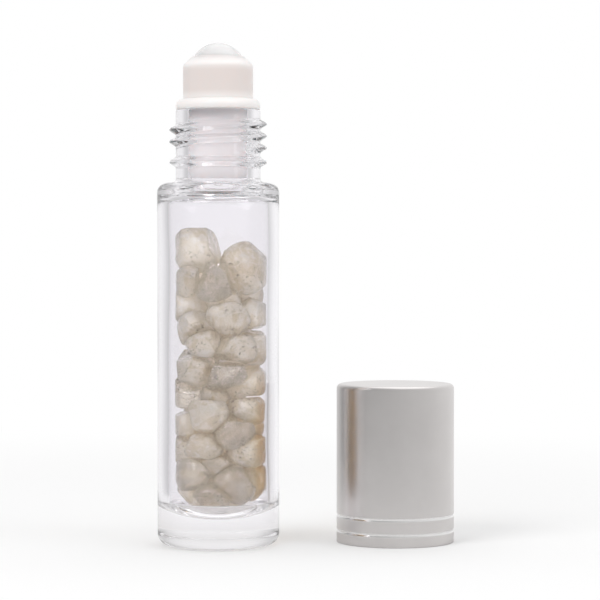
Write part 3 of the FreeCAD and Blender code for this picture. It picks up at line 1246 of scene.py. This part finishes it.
@dataclass
class Studio:
    """Pale floor, soft lamps, white surroundings and the camera."""

    floor_span: float = 6000.0
    floor_drop: float = 0.02
    floor_white: float = 0.82
    floor_lift: float = 0.12
    floor_fade: Span = (70.0, 240.0)
    floor_mirrored: Span = (45.0, 110.0)
    aim: Place = (15.0, 0.0, 35.0)
    lamps: tuple[Lamp, ...] = (
        Lamp("key_lamp", (-350.0, -420.0, 520.0), 420.0, 0.32),
        Lamp("fill_lamp", (520.0, -240.0, 260.0), 420.0, 0.20),
        Lamp("top_lamp", (60.0, 140.0, 640.0), 760.0, 0.22, True),
    )
    sparkle_lamps: tuple[Lamp, ...] = (
        Lamp("left_sparkle", (-260.0, -380.0, 330.0), 50.0, 0.10, True),
        Lamp("right_sparkle", (330.0, -330.0, 210.0), 50.0, 0.10, True),
        Lamp("front_sparkle", (40.0, -520.0, 130.0), 50.0, 0.08, True),
    )
    picture_size: float = 600.0
    pixels_per_mm: float = 6.1
    horizon_row: float = 227.7
    camera_distance: float = 410.0
    camera_aside: float = 13.4
    camera_height: float = 52.0
    sensor: float = 36.0
    ambient: float = 0.66
    aside_level: float = 0.65
    behind_cosines: Span = (0.55, 0.98)
    before_cosines: Span = (-0.10, -0.50)
    surround: tuple[Span, ...] = (
        (0.00, 0.55), (0.08, 0.62), (0.17, 0.67), (0.26, 0.77), (0.33, 0.82),
        (0.43, 0.92), (0.50, 0.95), (0.56, 0.80), (0.615, 0.62), (0.655, 0.20),
        (0.715, 0.14), (0.75, 0.41), (0.80, 0.47), (0.92, 0.50), (1.00, 0.55),
    )
    bounces: int = 40
    clear_bounces: int = 24

    def build_floor(self) -> None:
        """Lays the floor: it takes shadows, fades to white for the eye, and fades away in mirrors."""
        half = self.floor_span * MM / 2
        low = -self.floor_drop * MM
        corners = [(-half, -half, low), (half, -half, low), (half, half, low), (-half, half, low)]
        mesh = bpy.data.meshes.new("floor")
        mesh.from_pydata(corners, [], [(0, 1, 2, 3)])
        floor = bpy.data.objects.new("floor", mesh)
        bpy.context.scene.collection.objects.link(floor)
        material, graph = new_material("pale_floor")
        ray = graph.add("LightPath").outputs
        seen = graph.math("MAXIMUM", ray["Is Camera Ray"], ray["Is Transmission Ray"])
        apart = graph.add("VectorMath", {0: graph.place()}, operation="LENGTH").outputs["Value"]
        far = graph.product(seen, graph.span(apart, *(end * MM for end in self.floor_fade)))
        gone = graph.span(apart, *(end * MM for end in self.floor_mirrored))
        gone = graph.product(ray["Is Glossy Ray"], gone)
        paper = graph.add("BsdfDiffuse", {"Color": (*(self.floor_white,) * 3, 1.0)})
        lift = graph.add("Emission", {"Strength": graph.product(seen, self.floor_lift)})
        near = graph.add("AddShader", {0: paper.outputs[0], 1: lift.outputs[0]})
        white = graph.add("Emission", {"Strength": 1.0})
        both = graph.add("MixShader", {0: far, 1: near.outputs[0], 2: white.outputs[0]})
        clear = graph.add("BsdfTransparent")
        graph.finish(graph.add("MixShader", {0: gone, 1: both.outputs[0], 2: clear.outputs[0]}))
        mesh.materials.append(material)

    def build_surroundings(self) -> None:
        """Sets the surroundings: even light, white to look at, and banded round the compass in mirrors."""
        world = bpy.data.worlds.new("studio")
        world.use_nodes = True
        bpy.context.scene.world = world
        graph = Graph(world.node_tree)
        ray = graph.add("LightPath").outputs
        way = graph.add("SeparateXYZ", {0: graph.add("TexCoord").outputs["Generated"]}).outputs
        turn = graph.math("ARCTAN2", way["X"], graph.product(way["Y"], -1.0))
        compass = graph.math("FRACT", graph.math("ADD", graph.math("DIVIDE", turn, TURN), 1.0))
        ramp = graph.add("ValToRGB", {0: compass})
        stops = ramp.color_ramp.elements
        for place, _ in self.surround[1:-1]:
            stops.new(place)
        for stop, (place, level) in zip(stops, self.surround):
            stop.position = place
            stop.color = (level, level, level, 1.0)
        behind = graph.span(way["Y"], *self.behind_cosines, self.aside_level, 1.0)
        before = graph.span(way["Y"], *self.before_cosines, self.aside_level, 1.0)
        level = graph.math("MAXIMUM", ray["Is Camera Ray"], graph.math("MAXIMUM", behind, before))
        seen = graph.math("MAXIMUM", ray["Is Camera Ray"], ray["Is Transmission Ray"])
        even = graph.add("Background", {"Color": (1.0, 1.0, 1.0, 1.0), "Strength": self.ambient})
        banded = graph.add("Background", {"Color": ramp.outputs["Color"], "Strength": 1.0})
        white = graph.add("Background", {"Color": (1.0, 1.0, 1.0, 1.0), "Strength": level})
        mirrored = graph.add("MixShader", {0: ray["Is Glossy Ray"], 1: even.outputs[0], 2: banded.outputs[0]})
        shown = graph.add("MixShader", {0: seen, 1: mirrored.outputs[0], 2: white.outputs[0]})
        graph.add("OutputWorld", {"Surface": shown.outputs[0]})
        world.cycles.sampling_method = "NONE"

    def build_camera(self) -> None:
        """Sets up the camera: its lens gives the scale at the bottle, its tilt the row of the horizon."""
        focal_pixels = self.pixels_per_mm * self.camera_distance
        tilt = math.atan((self.picture_size / 2 - self.horizon_row) / focal_pixels)
        camera = bpy.data.cameras.new("camera")
        camera.sensor_width = self.sensor
        camera.lens = self.sensor * focal_pixels / self.picture_size
        camera_object = bpy.data.objects.new("camera", camera)
        camera_object.location = Vector((self.camera_aside, -self.camera_distance, self.camera_height)) * MM
        camera_object.rotation_euler = (math.pi / 2 - tilt, 0, 0)
        bpy.context.scene.collection.objects.link(camera_object)
        bpy.context.scene.camera = camera_object

    def build(self, sparkling: list[Piece]) -> None:
        """Builds the whole stage and sets how light is followed.

        Args:
            sparkling: The pieces that the small lamps put sparkles on.
        """
        self.build_floor()
        self.build_surroundings()
        self.build_camera()
        lit = bpy.data.collections.new("sparkling")
        for piece in sparkling:
            lit.objects.link(piece)
        for lamp in self.lamps:
            lamp.build(Vector(self.aim))
        for lamp in self.sparkle_lamps:
            lamp.build(Vector(self.aim), lit)
        scene = bpy.context.scene
        scene.view_settings.view_transform = "Standard"
        scene.cycles.max_bounces = self.bounces
        scene.cycles.transmission_bounces = self.bounces
        scene.cycles.glossy_bounces = self.bounces
        scene.cycles.transparent_max_bounces = self.clear_bounces


def main() -> None:
    """Builds and dresses every piece, and sets the stage."""
    logging.basicConfig(level=logging.INFO, format="%(message)s")
    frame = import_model()
    bottle = GlassBottle()
    bottle.dress(bottle.build())
    fitment = RollerFitment()
    fitment.dress(fitment.build())
    ball = RollerBall()
    ball.dress(ball.build())
    cap = ScrewCap()
    cap.dress(*cap.build())
    pile = QuartzPile(frame["nodes"])
    chips = pile.build()
    pile.dress(chips)
    Studio().build(chips)


if __name__ == "__main__":
    main()
